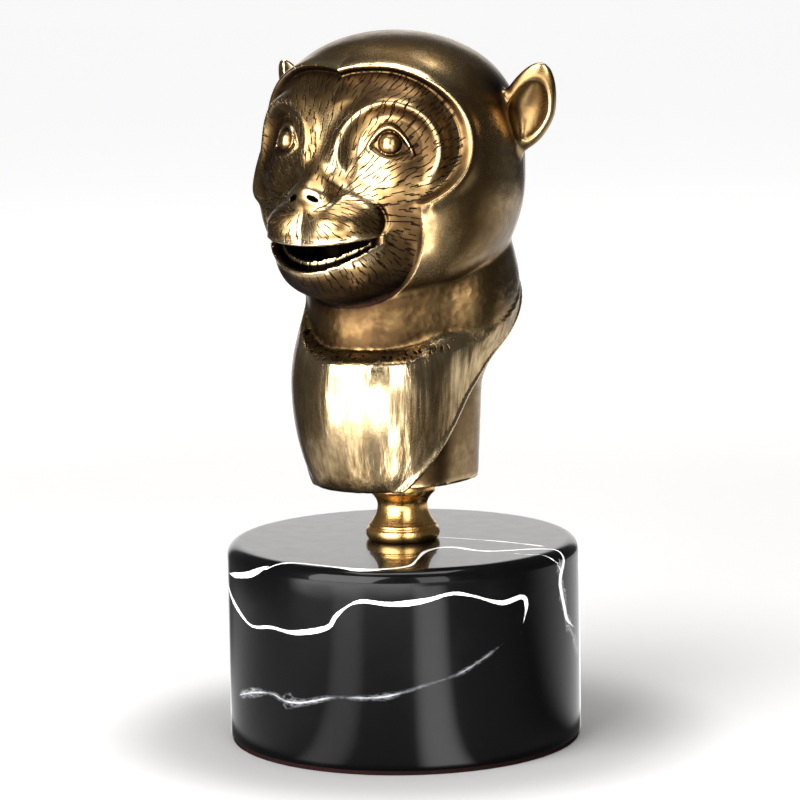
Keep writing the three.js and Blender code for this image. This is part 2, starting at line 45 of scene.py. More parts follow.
# Sizes shared with the solids, in millimetres
BASE_DIAMETER = 85
BASE_HEIGHT = 47
BASE_TOP_ROUND = 3
BASE_FOOT_ROUND = 0.6
FELT_THICKNESS = 1
STEM_HEIGHT = 14.6
STEM_FOOT_DIAMETER = 15.6
STEM_BULGE_DIAMETER = 17.9
STEM_WAIST_DIAMETER = 12.1
STEM_TOP_DIAMETER = 16
HEAD_HEIGHT = 107.4
BASE_TOP = FELT_THICKNESS + BASE_HEIGHT
HEAD_BOTTOM = BASE_TOP + STEM_HEIGHT

# The figure's own zero lies a little under the flat cut below the chest
UNITS_AT_CUT = 3.6
UNITS_AT_CROWN = 111.4
UNIT = HEAD_HEIGHT / (UNITS_AT_CROWN - UNITS_AT_CUT)

chance = np.random.default_rng(7)


# Soft shapes, given by a rough distance to their surface: negative inside
def smooth_step(value, low, high):
    t = np.clip((value - low) / (high - low), 0, 1)
    return t * t * (3 - 2 * t)


def bump(distance, width):
    return np.exp(-((distance / width) ** 2))


def join(a, b, softness):
    near = np.maximum(softness - np.abs(a - b), 0) / softness
    return np.minimum(a, b) - near * near * softness / 4


def overlap(a, b, softness):
    return -join(-a, -b, softness)


def carve(a, tool, softness):
    return overlap(a, -tool, softness)


def egg(x, f, h, centre, wide, front, up, back=None, down=None, crown=2):
    df = f - centre[1]
    dh = h - centre[2]
    depth = np.where(df > 0, front, front if back is None else back)
    tall = np.where(dh > 0, up, up if down is None else down)
    px = (x - centre[0]) / wide
    pf = df / depth
    share = np.abs(dh / tall)
    ph = np.where(dh > 0, share ** (crown / 2), share)
    k0 = np.sqrt(px**2 + pf**2 + ph**2) + 1e-9
    k1 = np.sqrt((px / wide) ** 2 + (pf / depth) ** 2 + (ph / tall) ** 2) + 1e-9
    return k0 * (k0 - 1) / k1


def ball(x, f, h, centre, wide, front, up):
    return egg(x, f, h, centre, wide, front, up)


def rod(x, f, h, start, end, radius):
    start = np.array(start, float)
    along = np.array(end, float) - start
    here = (x - start[0], f - start[1], h - start[2])
    dot = sum(part * step for part, step in zip(here, along))
    t = np.clip(dot / (along @ along), 0, 1)
    gap = [part - t * step for part, step in zip(here, along)]
    return np.sqrt(gap[0] ** 2 + gap[1] ** 2 + gap[2] ** 2) - radius


# Skull, cheeks, jaw, nose bridge
def skull(x, side, f, h):
    dome = egg(x, f, h, (0, 1, 77.5), 31.4, 29.2, 33.9, back=30.5, down=34, crown=3)
    forehead = 0.87 * (f - 23) + 0.5 * (h - 101.7)
    dome = overlap(dome, forehead, 5)
    cheeks = ball(side, f, h, (13.2, 7.2, 71), 17.2, 18.5, 18.5)
    jaw = ball(x, f, h, (0, 14, 61.5), 20.5, 19.5, 14)
    chin = ball(x, f, h, (0, 24.8, 58), 13, 12, 8.6)
    brow = rod(x, f, h, (0, 17.5, 97), (0, 19, 86), 5)
    bridge = rod(x, f, h, (0, 19, 86), (0, 32.5, 74.5), 5)
    lower = join(jaw, chin, 5)
    head = join(join(dome, cheeks, 4), lower, 3)
    return join(head, join(brow, bridge, 4), 5)


# Places on the face are given by the way round the head from its middle, and the height
FACE_RADIUS = 31
RIM_MIDDLE = (11.2, 87)
RIM_WIDE = 21.3
RIM_TALL = 17
BROW_MIDDLE = (14.7, 85)
BROW_RADIUS = 10.7
JAW_WIDE = 21.4
JAW_TALL = 18.6


def way_round(side, f):
    return np.arctan2(side, np.maximum(f + 5, 0.001)) * FACE_RADIUS


# Outside one lobe of the heart-shaped rim; the side towards the cleft is the flatter one
def rim_distance(around, h):
    across = np.abs(around - RIM_MIDDLE[0]) / RIM_WIDE
    bulge = np.where(around < RIM_MIDDLE[0], across**3.4, across**2)
    return (np.sqrt(bulge + ((h - RIM_MIDDLE[1]) / RIM_TALL) ** 2) - 1) * 18.5


def jaw_inside(around, h):
    oval = ((around / JAW_WIDE) ** 2.5 + (np.abs(h - 66) / JAW_TALL) ** 2.5) ** 0.4
    return (1 - oval) * 20


def from_brow(around, h):
    return np.hypot(around - BROW_MIDDLE[0], h - BROW_MIDDLE[1])


# Heart-shaped mask rim: a raised edge round a sunken face, thickest at its end
def rim_relief(around, h):
    rim = rim_distance(around, h)
    turn = np.degrees(np.arctan2(h - RIM_MIDDLE[1], around - RIM_MIDDLE[0]))
    swell = 1 + 0.3 * bump(turn + 46, 12)
    edge = np.where(rim > 0, bump(rim, 2), bump(rim, 1))
    ridge = 1.15 * swell * smooth_step(turn, -61, -50) * edge
    sunk = smooth_step(turn, -75, -45) * (1 - smooth_step(-rim, 3, 8.5))
    return ridge - 1.3 * smooth_step(-rim, 0, 2) * sunk


# Brow ring over the eye, open below, and the dish inside it
def brow_relief(around, h):
    ring = from_brow(around, h) - BROW_RADIUS
    angle = np.degrees(np.arctan2(h - BROW_MIDDLE[1], around - BROW_MIDDLE[0]))
    turn = np.where(angle < -90, angle + 360, angle)
    live = smooth_step(turn, -62, -25) * (1 - smooth_step(turn, 180, 225))
    dish = 2.1 * smooth_step(-ring, 0.2, 4) * smooth_step(h, 75, 86)
    return 1.35 * live * np.where(ring > 0, bump(ring, 2), bump(ring, 1.2)) - dish


# Eyelids round an almond-shaped opening
def lid_relief(around, h):
    across = around - 14.8
    arch = across**2
    tilted = h + 0.14 * across
    almond = overlap(tilted - 89.6 + 0.21 * arch, 82.9 + 0.08 * arch - tilted, 0.8)
    thick = (0.55 + 0.45 * smooth_step(h, 84.6, 86.6)) * (1 - smooth_step(arch, 26, 42))
    return 0.8 * thick * bump(almond - 0.35, 0.75) - 0.3 * smooth_step(-almond, 0.2, 1.4)


# Fullness below the eye and beside it, and the fold where the jaw meets the hood
def cheek_relief(around, h):
    apple = 0.7 * bump(np.hypot(around - 16.5, h - 78.5), 5)
    temple = 0.8 * bump(np.hypot((around - 31) / 9, (h - 80) / 7), 1)
    inside = jaw_inside(around, h)
    fold = smooth_step(inside, -0.3, 0.9) * (1 - smooth_step(inside, 1, 6))
    return apple + temple - 0.75 * fold * (1 - smooth_step(h, 66, 74))


def mask_relief(side, f, h):
    around = way_round(side, f)
    face = rim_relief(around, h) + brow_relief(around, h) + lid_relief(around, h)
    return smooth_step(f, -6, 2) * (face + cheek_relief(around, h))


# Muzzle with its two lip pads, the smile crease beside it, and the snub nose
def with_muzzle(head, x, side, f, h):
    main = egg(x, f, h, (0, 25.2, 66), 15.4, 13.4, 9.6, down=15)
    pads = ball(side, f, h, (5.6, 30, 67.2), 8.2, 9, 5.6)
    crease = bump(way_round(side, f) - 13.9 + 0.1 * (h - 68.6) ** 2, 0.7)
    crease_live = smooth_step(h, 64, 65.5) * (1 - smooth_step(h, 71, 74))
    muzzle = join(head, join(main, pads, 3), 4) + 0.6 * crease * crease_live
    tip = ball(x, f, h, (0, 35.6, 75), 3.6, 2.8, 2.2)
    wings = ball(side, f, h, (3.4, 34.6, 74.2), 2.3, 2.8, 1.9)
    return carve(join(muzzle, join(tip, wings, 1.6), 2.2), nostrils(side, f, h), 0.5)


# Small tilted nostrils
def nostrils(side, f, h):
    tilted = h + 0.35 * (side - 2.7)
    return ball(side, f, tilted, (2.7, 37.6, 74.2), 1.25, 1.2, 0.5)


# The lower lip and the teeth curve upwards to the sides by this much of x squared
SMILE = 0.0271


# The mouth's opening
def mouth_slot(x, f, h):
    upper_lip = 63.1 + 0.0079 * x * x
    lower_lip = 57.2 + SMILE * x * x
    palate = (1 - np.hypot(x / 11, (f - 19) / 10.5)) * 10
    opening = overlap(h - upper_lip, lower_lip - h, 2)
    return np.maximum(np.maximum(opening, palate), 29 - f)


# Lower row of teeth
def teeth_row(x, f, h):
    arch = np.abs(np.hypot(x / 12.4, (f - 25.5) / 9.8) - 1) * 11 - 0.7
    row = np.abs(h - 57.7 - SMILE * x * x) - 1.9
    return np.maximum(np.maximum(arch, row), 27 - f)


TOOTH_WIDTH = 2.2


# Thin upright lines that part the teeth
def tooth_gaps(x, f, h):
    from_gap = np.abs((x / TOOTH_WIDTH) % 1 - 0.5) - 0.5
    return bump(from_gap * TOOTH_WIDTH, 0.2) * (1 - smooth_step(teeth_row(x, f, h), 0.1, 0.4))


# Open smiling mouth with rolled lips
def with_mouth(head, x, f, h):
    slot = mouth_slot(x, f, h)
    lips = 0.6 * bump(slot, 1) * smooth_step(f, 26, 31)
    opened = carve(head - lips, slot, 0.8)
    return join(opened, teeth_row(x, f, h), 0.3)


# Cupped ear, leaning outwards, in its own axes: across, along and out of the cup
EAR_CENTRE = np.array([33.6, -7, 92.5])
EAR_ALONG = np.array([0.285, 0.16, 0.945])
EAR_ALONG /= np.linalg.norm(EAR_ALONG)
EAR_ACROSS = np.array([0.92, -0.385, 0])
EAR_ACROSS -= EAR_ALONG * (EAR_ACROSS @ EAR_ALONG)
EAR_ACROSS /= np.linalg.norm(EAR_ACROSS)
EAR_OUT = np.cross(EAR_ALONG, EAR_ACROSS)


def ear_parts(side, f, h):
    here = (side - EAR_CENTRE[0], f - EAR_CENTRE[1], h - EAR_CENTRE[2])
    across, along, out = (
        sum(part * axis for part, axis in zip(here, line))
        for line in (EAR_ACROSS, EAR_ALONG, EAR_OUT)
    )
    leaf = across + 1.1 - 0.16 * along
    shell = egg(leaf, out, along, (0, 0, 0), 6.75, 2.6, 12, back=3.8, down=10.8, crown=1.3)
    hollow = egg(leaf, out, along, (0.3, 2.6, 0.6), 5, 3.4, 8.4, down=8, crown=1.4)
    return shell, hollow


def ear(side, f, h):
    shell, hollow = ear_parts(side, f, h)
    return carve(shell, hollow, 0.8)


# Lower line of the collar, which climbs faster on the figure's right
def crease_height(x, f):
    return 37.4 + 0.0078 * (26 - f) ** 2 + 0.05 * np.maximum(-x - 2, 0) ** 2


# In front of the chest panel's slanted back edge
def cape_edge(f, h):
    return (19.6 - 0.55 * h - 0.006 * h * h - f) / 1.3


# Neck, collar fold, and the chest panel whose back edge is a slanted ridge
def bust(x, f, h):
    nape = egg(x, f, h, (0, -3, 48), 27.4, 17, 34, back=27.6, down=24)
    throat = (np.hypot(x / 19.3, (f - 3) / 21.2) - 1) * 20
    crease = h - crease_height(x, f)
    neck = np.maximum(overlap(throat, -crease - 6, 3), h - 62)
    collar = join(nape, neck, 5)
    panel = egg(x, f, h, (0, 8.3, 28), 21.3, 21.3, 29, back=34, down=37)
    wrap = egg(x, f, h, (0, -3, 46), 25, 20, 24, back=26)
    chest = join(overlap(panel, crease, 4.5), overlap(wrap, crease, 2), 8)
    bead = 0.5 * bump(cape_edge(f, h) + 0.9, 0.75) * smooth_step(-crease, 0.5, 3)
    cape = overlap(join(chest, collar, 0.8) - bead, cape_edge(f, h), 0.7)
    folds = 0.35 * np.cos(6 * np.arctan2(x, -(f + 1.5)))
    taper = 1.05 + 0.003 * (h - 12) + 0.16 * smooth_step(h, 26, 36)
    column = (np.hypot(x / 16.3, (f + 1.5) / 18.3) - taper) * 17 - folds
    return join(cape, np.maximum(column, h - 62), 1.2)


EYE = np.array([14.4, 23, 86.1])
EYE_RADIUS = 2.85
NOSE = np.array([0, 36, 74.6])


# Head with its muzzle, and no mouth yet
def closed_head(x, side, f, h):
    head = skull(x, side, f, h) - mask_relief(side, f, h)
    return with_muzzle(head, x, side, f, h)


# The whole figure: x across, f forwards, h up
def figure(x, f, h):
    side = np.abs(x)
    head = with_mouth(closed_head(x, side, f, h), x, f, h)
    eyes = np.sqrt((side - EYE[0]) ** 2 + (f - EYE[1]) ** 2 + (h - EYE[2]) ** 2) - EYE_RADIUS
    head = join(head, eyes, 0.3)
    head = join(head, ear(side, f, h), 2.6)
    whole = join(head, bust(x, f, h), 1.2)
    return overlap(whole, UNITS_AT_CUT - h, 0.5)


# Surface of a field as a mesh of four-sided faces, one vertex in each crossed grid cell
def surface_net(field, low, high, step):
    lines = [np.arange(a, b, step) for a, b in zip(low, high)]
    grid = np.meshgrid(*lines, indexing="ij")
    values = field(*(axis.ravel() for axis in grid)).reshape(grid[0].shape)
    inside = values < 0
    corners = [(a, b, c) for a in (0, 1) for b in (0, 1) for c in (0, 1)]

    def shifted(block, corner):
        return block[tuple(slice(s, n - 1 + s) for s, n in zip(corner, block.shape))]

    count = sum(shifted(inside, corner).astype(np.int8) for corner in corners)
    cells = np.argwhere((count > 0) & (count < 8))
    value = {corner: values[tuple((cells + corner).T)] for corner in corners}
    total = np.zeros((len(cells), 3))
    crossings = np.zeros(len(cells))
    for a in corners:
        for axis in range(3):
            if a[axis]:
                continue
            b = tuple(1 if axis == other else a[other] for other in range(3))
            crossed = (value[a] < 0) != (value[b] < 0)
            t = np.where(crossed, value[a] / (value[a] - value[b] + 1e-12), 0)
            place = np.tile(np.array(a, float), (len(cells), 1))
            place[:, axis] += t
            total += place * crossed[:, None]
            crossings += crossed
    points = np.array(low) + (cells + total / crossings[:, None]) * step
    number = np.full(values.shape, -1)
    number[tuple(cells.T)] = np.arange(len(cells))
    triangles = []
    for axis in range(3):
        ahead = np.eye(3, dtype=int)[axis]
        u = np.eye(3, dtype=int)[(axis + 1) % 3]
        v = np.eye(3, dtype=int)[(axis + 2) % 3]
        start = inside[tuple(slice(1, n - 1) for n in values.shape)]
        end = inside[tuple(slice(1 + s, n - 1 + s) for s, n in zip(ahead, values.shape))]
        nodes = np.argwhere(start != end) + 1
        starts_inside = inside[tuple(nodes.T)]
        quad = np.stack([number[tuple((nodes - s).T)] for s in (0 * u, u, u + v, v)], 1)
        quad = np.where(starts_inside[:, None], quad, quad[:, ::-1])
        triangles += [quad[:, [0, 1, 2]], quad[:, [0, 2, 3]]]
    return points, np.concatenate(triangles)


def edge_list(faces, size):
    pairs = np.concatenate([faces[:, [0, 1]], faces[:, [1, 2]], faces[:, [2, 0]]])
    pairs = np.sort(pairs, axis=1)
    keys, where = np.unique(pairs[:, 0] * size + pairs[:, 1], return_inverse=True)
    edges = np.stack([keys // size, keys % size], 1)
    return edges, where.reshape(3, -1).T


# Split the wanted edges in two, and each triangle to suit
def split_edges(points, faces, wanted):
    edges, edge_of = edge_list(faces, len(points))
    middle = points[edges].mean(1)
    split = wanted(middle)
    number = np.full(len(edges), -1)
    number[split] = len(points) + np.arange(split.sum())
    points = np.concatenate([points, middle[split]])
    mid = number[edge_of]
    count = (mid >= 0).sum(1)
    made = [faces[count == 0]]
    full = count == 3
    a, b, c = faces[full].T
    ab, bc, ca = mid[full].T
    made += [np.stack(t, 1) for t in ((a, ab, ca), (ab, b, bc), (ca, bc, c), (ab, bc, ca))]
    for turn in range(3):
        order = [turn, (turn + 1) % 3, (turn + 2) % 3]
        one = (count == 1) & (mid[:, turn] >= 0)
        a, b, c = faces[one][:, order].T
        ab = mid[one][:, turn]
        made += [np.stack(t, 1) for t in ((a, ab, c), (ab, b, c))]
        two = (count == 2) & (mid[:, order[2]] < 0)
        a, b, c = faces[two][:, order].T
        ab, bc = mid[two][:, order[0]], mid[two][:, order[1]]
        made += [np.stack(t, 1) for t in ((ab, b, bc), (a, ab, bc), (a, bc, c))]
    return points, np.concatenate(made)


def slope(field, points, nudge=0.04):
    parts = []
    for axis in range(3):
        shift = np.zeros(3)
        shift[axis] = nudge
        ahead = field(*(points + shift).T)
        behind = field(*(points - shift).T)
        parts.append((ahead - behind) / (2 * nudge))
    return np.stack(parts, 1)


# Even out the spacing and draw the points back onto the surface
def settle(field, points, faces, rounds, reach):
    edges, _ = edge_list(faces, len(points))
    both = np.concatenate([edges, edges[:, ::-1]])
    degree = np.bincount(both[:, 0], minlength=len(points))
    for _ in range(rounds):
        around = np.stack(
            [
                np.bincount(both[:, 0], points[both[:, 1], axis], len(points)) / degree
                for axis in range(3)
            ],
            1,
        )
        points = (points + around) / 2
        steep = slope(field, points)
        pull = field(*points.T)[:, None] * steep
        pull /= (steep**2).sum(1, keepdims=True) + 0.1
        points = points - np.clip(pull, -reach, reach)
    return points


# The solid's faceted crown is a hair lower than the smooth one
CROWN_FIT = 0.9995


# The figure's face looks along +f and the scene's along -Y
def to_scene(points):
    moved = points * UNIT
    height = HEAD_BOTTOM + CROWN_FIT * (moved[:, 2] - UNITS_AT_CUT * UNIT)
    return np.stack([moved[:, 0], -moved[:, 1], height], 1) * MM


# Inside the rim or the jaw line, or outside them by less than the margin
def in_mask(points, margin=0.0):
    x, f, h = points.T
    around = way_round(np.abs(x), f)
    inside_rim = (rim_distance(around, h) < margin) & (h > 70)
    inside_jaw = (jaw_inside(around, h) > -margin) & (h < 74)
    return (f > 1) & (h > 47) & (inside_rim | inside_jaw)


def near_cape_edge(points):
    x, f, h = points.T
    return (np.abs(cape_edge(f, h)) < 1.8) & (h < crease_height(x, f) + 1)


def near_ear(points):
    return np.abs(points[:, 0]) > 28.5 + 0.3 * np.maximum(80 - points[:, 2], 0)


GRID_LOW = (-44, -38, -1)
GRID_HIGH = (44, 44, 114)
GRID_STEP = 1.0


# Finer on the face, the ears and the panel's edge than elsewhere
def head_surface():
    points, faces = surface_net(figure, GRID_LOW, GRID_HIGH, GRID_STEP)
    points = settle(figure, points, faces, 3, 0.4)
    points, faces = split_edges(
        points, faces, lambda p: in_mask(p, 2.5) | near_ear(p) | near_cape_edge(p)
    )
    points = settle(figure, points, faces, 2, 0.2)
    points, faces = split_edges(points, faces, lambda p: in_mask(p, 1.5))
    points = settle(figure, points, faces, 2, 0.1)
    return points, faces


def make_object(name, points, faces, attributes=()):
    mesh = bpy.data.meshes.new(name)
    mesh.from_pydata(points.tolist(), [], faces)
    mesh.polygons.foreach_set("use_smooth", [True] * len(mesh.polygons))
    for label, values in dict(attributes).items():
        layer = mesh.attributes.new(label, "FLOAT", "POINT")
        layer.data.foreach_set("value", np.asarray(values, np.float32))
    mesh.update()
    made = bpy.data.objects.new(name, mesh)
    bpy.context.collection.objects.link(made)
    return made


FUR_SPACING = 2.1
STROKE_REACH = 0.45
STROKE_SEARCH = 2.2
UNREACHED = 9.0


# Short chased strokes that run outwards from the nose. Each point near a stroke is told how
# far it lies across and along it, and how surely it belongs to it.
def fur_strokes(points, normals):
    x, f, h = points.T
    side = np.abs(x)
    around = way_round(side, f)
    turn = around / FACE_RADIUS
    from_eye = np.linalg.norm(np.stack([side, f, h], 1) - EYE, axis=1)
    from_nose = np.linalg.norm(points - NOSE, axis=1)
    off_rim = np.where(h > 72, -rim_distance(around, h), UNREACHED)
    covered = in_mask(points, -1.2) & (from_eye > 4.6) & (from_nose > 4.6) & (off_rim > 1.6)
    covered &= (mouth_slot(x, f, h) > 1.5) & (f > 6)
    places = np.flatnonzero(covered)
    boxes = np.floor(points[places] / FUR_SPACING)
    off_middle = np.linalg.norm(points[places] / FUR_SPACING - boxes - 0.5, axis=1)
    places = places[np.argsort(off_middle * chance.uniform(0.2, 2.5, len(places)))]
    boxes = np.floor(points[places] / FUR_SPACING).astype(int)
    _, first = np.unique(boxes, axis=0, return_index=True)
    sign = np.where(x < 0, -1.0, 1.0)
    outward = np.stack([np.cos(turn) * sign, -np.sin(turn), 0 * turn], 1)
    flow = outward * (around - 0.5)[:, None] + np.array([0, 0, 1.0]) * (h - 71)[:, None]
    flow -= normals * (flow * normals).sum(1, keepdims=True)
    flow /= np.linalg.norm(flow, axis=1, keepdims=True) + 1e-9
    nearest = np.full(len(points), UNREACHED)
    across = nearest.copy()
    along = nearest.copy()
    order = np.argsort(points[:, 2])
    heights = points[order, 2]
    for centre in places[first]:
        span = points[centre, 2] + np.array([-STROKE_SEARCH, STROKE_SEARCH])
        low, high = np.searchsorted(heights, span)
        near = order[low:high]
        gap = points[near] - points[centre]
        close = (np.abs(gap[:, :2]) < STROKE_SEARCH).all(1)
        near, gap = near[close], gap[close]
        way = flow[centre] + 0.08 * chance.normal(size=3)
        way /= np.linalg.norm(way)
        lengthwise = gap @ way
        sideways = gap @ np.cross(normals[centre], way)
        length = chance.uniform(0.75, 1.3)
        beyond = np.maximum(np.abs(lengthwise) - length, 0)
        apart = np.hypot(sideways, beyond)
        closer = apart < nearest[near]
        chosen = near[closer]
        nearest[chosen] = apart[closer]
        across[chosen] = sideways[closer]
        along[chosen] = lengthwise[closer] / length
    owned = 1 - smooth_step(nearest, 0.6 * STROKE_REACH, STROKE_REACH)
    return {"stroke_across": across, "stroke_along": along, "stroke_owned": owned}


# How enclosed each point is, or how sharp an edge it lies on, from 0 to 1
def openness(points, normals):
    cavity = np.zeros(len(points))
    for reach, share in ((1, 0.25), (2.5, 0.35), (8, 0.4)):
        open_by = figure(*(points + normals * reach).T) / reach
        cavity += share * (1 - np.clip(open_by, 0, 1))
    ridge = np.zeros(len(points))
    for reach, share in ((0.8, 0.6), (1.8, 0.4)):
        deep_by = -figure(*(points - normals * reach).T) / reach
        ridge += share * (1 - np.clip(deep_by, 0, 1))
    return cavity, ridge


# Painted shade on the face: jaw, back of the left cheek, far side of the brow dish, forehead,
# nose base
def painted_shade_places(points):
    x, f, h = points.T
    side = np.abs(x)
    around = way_round(side, f)
    jaw = 1 - smooth_step(h, 56, 60)
    cheek_back = 0.9 * smooth_step(x, 12.5, 18) * (1 - smooth_step(h, 72, 79))
    in_ring = smooth_step(BROW_RADIUS - from_brow(around, h), 0, 2)
    dish = 0.8 * in_ring * smooth_step(around, 14, 19)
    forehead = 0.6 * smooth_step(h, 92, 97)
    nose_base = 0.8 * bump(np.hypot(x / 1.6, h - 73.8), 3.2) * (f > 30)
    painted_shade_mask = np.maximum.reduce([jaw, cheek_back, dish, forehead, nose_base])
    return painted_shade_mask * in_mask(points)


# What the bronze's finish needs to know at each point of the head
def head_attributes(points, normals):
    cavity, ridge = openness(points, normals)
    x, f, h = points.T
    side = np.abs(x)
    row = teeth_row(x, f, h)
    # Painted shade inside the mouth and the nostrils, made near black by the finish
    behind_lips = smooth_step(-closed_head(x, side, f, h), 0.5, 1.3) * (f > 24) * (h < 66)
    tooth_top = smooth_step(h - SMILE * x * x, 58.5, 59.2) * (1 - smooth_step(row, 0.1, 0.5))
    nostril = 1 - smooth_step(np.abs(nostrils(side, f, h)), 0.15, 0.5)
    in_cup = 1 - smooth_step(np.abs(ear_parts(side, f, h)[1]), 0.3, 1.1)
    below = crease_height(x, f) - h
    # The collar band: hammered, and darker in the finish, partly patina and partly painted shade
    # under the chin
    collar = smooth_step(-below, 0, 1.5) * (1 - smooth_step(h, 52, 56))
    pitted = bump(np.hypot(np.hypot(side - 29, f + 4), h - 84), 8)
    return {
        "gap": tooth_gaps(x, f, h),
        "cavity": cavity,
        "ridge": ridge,
        "panel": smooth_step(below, 0.5, 3) * smooth_step(-cape_edge(f, h), 0, 1),
        "collar": collar,
        "hem": bump(below - 1.0, 0.9) * (f > 8),
        # A brighter line along the chest panel's ridge: partly rubbed wear, partly a painted
        # highlight
        "edge": bump(cape_edge(f, h) + 0.7, 0.9) * smooth_step(below, 0.5, 3),
        # Painted shade on parts of the face
        "shade": painted_shade_places(points),
        "hammered": np.maximum(collar, pitted),
        "painted_mouth_shade": np.maximum(behind_lips * (1 - 0.85 * tooth_top), nostril),
        "cup": in_cup * near_ear(points),
        **fur_strokes(points, normals),
    }


# The casting in two halves, left and right, that share their edge and its shading.
# The way into the scene mirrors the figure, so the faces are turned over.
def head_objects():
    points, faces = head_surface()
    normals = slope(figure, points)
    normals /= np.linalg.norm(normals, axis=1, keepdims=True)
    attributes = head_attributes(points, normals)
    in_scene = to_scene(points)
    facing = normals * np.array([1, -1, 1])
    faces = faces[:, ::-1]
    on_left = points[faces].mean(1)[:, 0] > 0
    halves = []
    for name, own in (("monkey_bust_left", on_left), ("monkey_bust_right", ~on_left)):
        used, renumbered = np.unique(faces[own], return_inverse=True)
        own_faces = renumbered.reshape(-1, 3).tolist()
        own_attributes = {label: values[used] for label, values in attributes.items()}
        half = make_object(name, in_scene[used], own_faces, own_attributes)
        half.data.normals_split_custom_set_from_vertices(facing[used].tolist())
        halves.append(half)
    return halves


# A turned piece from its profile of (radius, height), in millimetres
def turned(name, profile, sides, describe=lambda points: {}):
    profile = np.array(profile, float)
    angles = np.arange(sides) * 2 * math.pi / sides
    radius, height = profile.T
    inner = profile[:, 0] > 1e-6
    ring = np.stack(
        [
            np.outer(radius[inner], np.sin(angles)),
            -np.outer(radius[inner], np.cos(angles)),
            np.outer(height[inner], np.ones(sides)),
        ],
        2,
    ).reshape(-1, 3)
    points = np.concatenate([ring, [[0, 0, height[0]], [0, 0, height[-1]]]])
    rows = int(inner.sum())
    faces = []
    for row in range(rows - 1):
        for side in range(sides):
            ahead = (side + 1) % sides
            a, b = row * sides + side, row * sides + ahead
            faces.append((a, b, b + sides, a + sides))
    bottom, top = len(points) - 2, len(points) - 1
    last = (rows - 1) * sides
    for side in range(sides):
        ahead = (side + 1) % sides
        faces.append((ahead, side, bottom))
        faces.append((last + side, last + ahead, top))
    return make_object(name, points * MM, faces, describe(points))


def arc(centre, radius, start, end, steps):
    angles = np.radians(np.linspace(start, end, steps + 1))
    return [(centre[0] + radius * math.cos(a), centre[1] + radius * math.sin(a)) for a in angles]


# Marble veins as points on the base. A place on the side is (angle from the face, height);
# a place on the top is (across, depth), with depth towards +Y. Each is joined smoothly.
def on_side(places):
    radius = BASE_DIAMETER / 2
    angles = np.radians([angle for angle, _ in places])
    heights = np.array([height for _, height in places], float)
    return np.stack([radius * np.sin(angles), -radius * np.cos(angles), heights], 1)


def on_top(places):
    flat = np.array(places, float)
    return np.column_stack([flat, np.full(len(flat), float(BASE_TOP))])


def smooth_line(points, steps=6):
    padded = np.concatenate([[2 * points[0] - points[1]], points, [2 * points[-1] - points[-2]]])
    made = []
    for i in range(1, len(padded) - 2):
        p0, p1, p2, p3 = padded[i - 1 : i + 3]
        for t in np.arange(steps) / steps:
            made.append(
                0.5 * (2 * p1 + (p2 - p0) * t + (2 * p0 - 5 * p1 + 4 * p2 - p3) * t**2
                       + (3 * p1 - p0 - 3 * p2 + p3) * t**3)
            )
    made.append(points[-1])
    return np.array(made)


FRONT_VEIN = on_side([
    (-62, 42.5), (-47, 38), (-34, 34.5), (-23, 31.7), (-12, 32.6), (-2, 32.3), (10, 34.3), (13, 37),
    (17, 39.6), (22, 41), (31, 40.4), (41, 41), (50, 42.4), (57, 41.4), (67, 39), (75, 39.6),
    (77, 37.3), (75, 32),
])
RIM_VEIN = np.concatenate([
    on_side([(-46, 41.4), (-34, 42.4), (-23, 44), (-16, 46.2)]),
    on_top([
        (-7.5, -40.6), (-2.4, -38.8), (7.6, -38.3), (14, -37.6), (19.3, -34), (21.6, -28.5),
        (18.8, -21.3), (15.2, -13), (15, -7), (18.3, -4.3), (27, -4.6), (35.2, 3.2),
    ]),
    on_top([(39.6, 5.4)]),
    on_side([(98, 45.4), (95, 40.7), (98, 34.3), (101, 30.5), (113, 26)]),
])
TOP_VEIN = on_top([(2, 2), (6.2, 4.2), (18.8, 7), (28, 7.6), (36.6, 7.3)])
EDGE_VEIN = np.concatenate([on_top([(34, -3.6), (38.4, -3)]), on_side([(92, 46.2), (97, 42)])])
LOW_VEIN = on_side([
    (-36, 12.8), (-24, 15.4), (-13, 16.7), (-6, 15.6), (1, 16), (12, 18), (22, 18.3), (30, 18.9),
    (40, 21), (52, 23.5), (60, 26.4), (70, 30.4),
])
BACK_VEIN = on_side([
    (128, 8), (140, 14), (152, 17), (166, 27), (180, 30), (194, 34), (204, 42), (208, 46),
])
SMEAR = on_side([(95, 46.5), (96, 41), (98, 35), (101, 30), (106, 26), (113, 20)])
RING = on_side([
    (-7.5, 15.4), (-6.6, 17.1), (-4.2, 17.4), (-2.8, 16), (-3.6, 14.4), (-6, 14.1), (-7.5, 15.4),
])
# Each vein's line, its half width, and the share by which it thins out along its length
VEINS = {
    "front": (FRONT_VEIN, 0.65, 0),
    "rim": (RIM_VEIN, 0.8, 0),
    "top": (TOP_VEIN, 0.55, 0),
    "edge": (EDGE_VEIN, 0.25, 0),
    "low": (LOW_VEIN, 1.6, 0.6),
    "smear": (SMEAR, 2.4, 0),
    "ring": (RING, 0.6, 0),
    "back": (BACK_VEIN, 0.45, 0),
}
SMOKY_VEINS = ("low", "smear", "ring")
FAR_FROM_VEIN = 3.0


